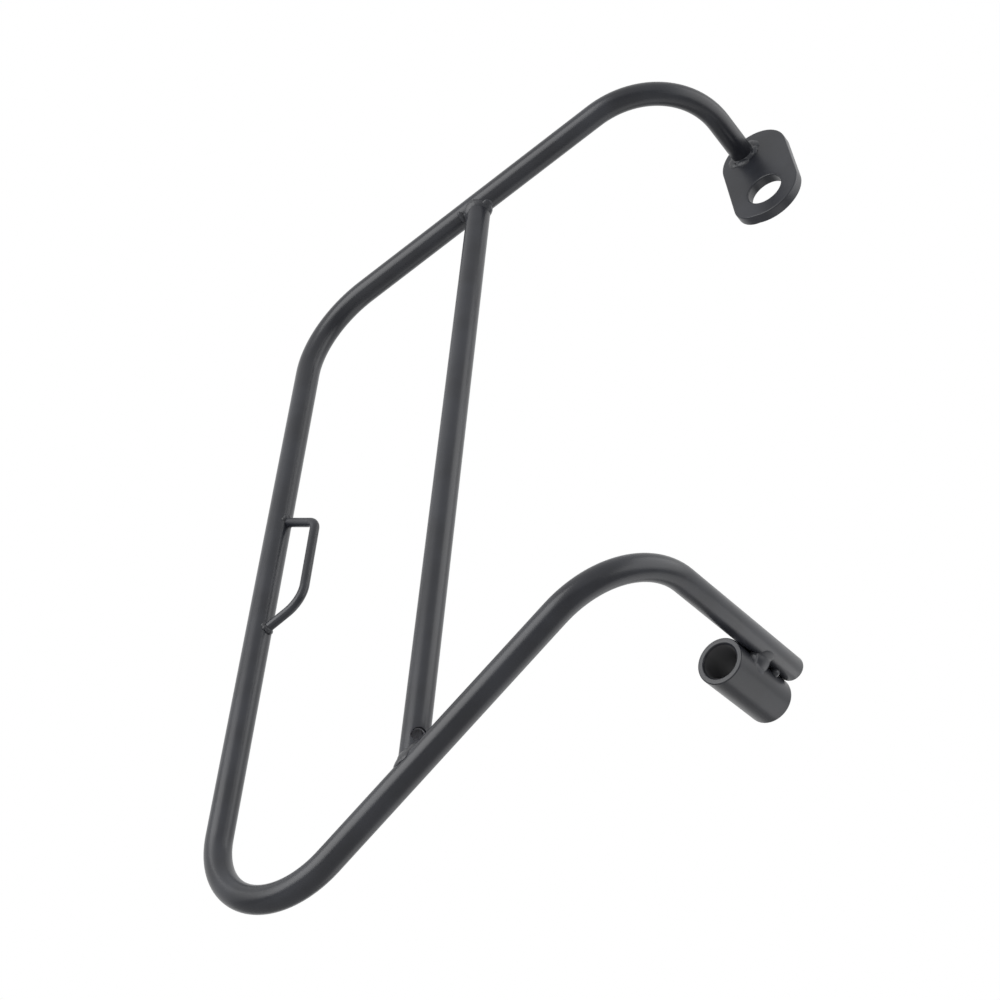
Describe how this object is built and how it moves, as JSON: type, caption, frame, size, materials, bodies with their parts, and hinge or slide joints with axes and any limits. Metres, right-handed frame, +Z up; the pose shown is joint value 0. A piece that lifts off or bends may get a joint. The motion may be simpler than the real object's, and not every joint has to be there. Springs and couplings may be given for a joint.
{
  "type": "motorcycle side bag bracket",
  "caption": "Bent tube loop that holds a motorcycle's side bag off the wheel, with an upright brace, a rod loop for a strap, a flat bolt tab and a welded collar.",
  "frame": {"origin": "centre of the bolt hole in the upper tab, half way through the plate", "axes": "+X forward along the motorcycle, +Y inboard along the hole's axis, +Z up"},
  "size_m": [0.2675, 0.154, 0.4732],
  "materials": {
    "coating": "satin"
  },
  "bodies": {
    "root": {"main_tube": "coating", "brace_tube": "coating", "strap_loop": "coating", "mount_tab": "coating", "mount_collar": "coating", "tab_weld": "coating", "brace_upper_weld": "coating", "brace_lower_weld": "coating", "loop_upper_weld": "coating", "loop_lower_weld": "coating", "collar_lower_weld": "coating", "collar_upper_weld": "coating"}
  },
  "joints": []
}
